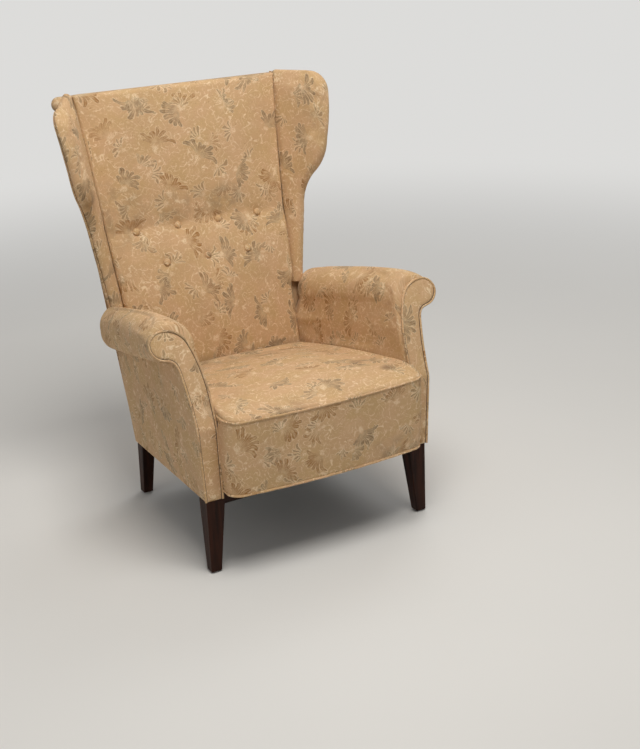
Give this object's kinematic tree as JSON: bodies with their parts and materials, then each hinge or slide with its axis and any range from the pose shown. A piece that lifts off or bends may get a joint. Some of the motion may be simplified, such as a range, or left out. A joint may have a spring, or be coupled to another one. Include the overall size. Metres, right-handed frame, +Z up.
{
  "type": "wingback armchair",
  "caption": "High-backed wing easy chair with rolled arms, a bow-fronted sprung seat, a buttoned back and tapered wooden legs.",
  "frame": {"origin": "On the floor, under the middle of the chair's outline seen from above.", "axes": "+Z up, -Y towards the front of the seat, +X to the right as seen by someone who looks at the chair's front."},
  "size_m": [0.777, 0.8288, 1.0467],
  "materials": {
    "floral_damask": "woven",
    "stained_wood": "satin",
    "frame_timber": "sawn",
    "jute_webbing": "woven",
    "hessian": "woven",
    "dust_cloth": "matte",
    "spring_steel": "satin",
    "bolt_steel": "satin",
    "tack_steel": "satin",
    "glide_metal": "satin"
  },
  "bodies": {
    "root": {"back_buttons": "floral_damask", "back_hessian": "hessian", "back_pad": "floral_damask", "back_seat_rail": "frame_timber", "back_webbing": "jute_webbing", "corner_blocks": "frame_timber", "dust_cover": "dust_cloth", "dust_cover_tacks": "tack_steel", "foot_glides": "glide_metal", "front_seat_rail": "stained_wood", "left_arm_facing": "floral_damask", "left_arm_facing_board": "frame_timber", "left_arm_inside_pad": "floral_damask", "left_arm_rail": "frame_timber", "left_arm_roll": "floral_damask", "left_back_stile": "frame_timber", "left_facing_welt": "floral_damask", "left_front_leg": "stained_wood", "left_front_post": "frame_timber", "left_outside_arm_panel": "floral_damask", "left_outside_wing_panel": "floral_damask", "left_rear_leg": "stained_wood", "left_side_seat_rail": "frame_timber", "left_wing_board": "frame_timber", "left_wing_pad": "floral_damask", "leg_bolts": "bolt_steel", "lower_back_rail": "frame_timber", "outside_back_panel": "floral_damask", "right_arm_facing": "floral_damask", "right_arm_facing_board": "frame_timber", "right_arm_inside_pad": "floral_damask", "right_arm_rail": "frame_timber", "right_arm_roll": "floral_damask", "right_back_stile": "frame_timber", "right_facing_welt": "floral_damask", "right_front_leg": "stained_wood", "right_front_post": "frame_timber", "right_outside_arm_panel": "floral_damask", "right_outside_wing_panel": "floral_damask", "right_rear_leg": "stained_wood", "right_side_seat_rail": "frame_timber", "right_wing_board": "frame_timber", "right_wing_pad": "floral_damask", "seat_front_border": "floral_damask", "seat_front_piping": "floral_damask", "seat_front_welt": "floral_damask", "seat_hessian": "hessian", "seat_pad": "floral_damask", "seat_springs": "spring_steel", "seat_webbing": "jute_webbing", "top_back_rail": "frame_timber", "top_roll": "floral_damask"}
  },
  "joints": []
}
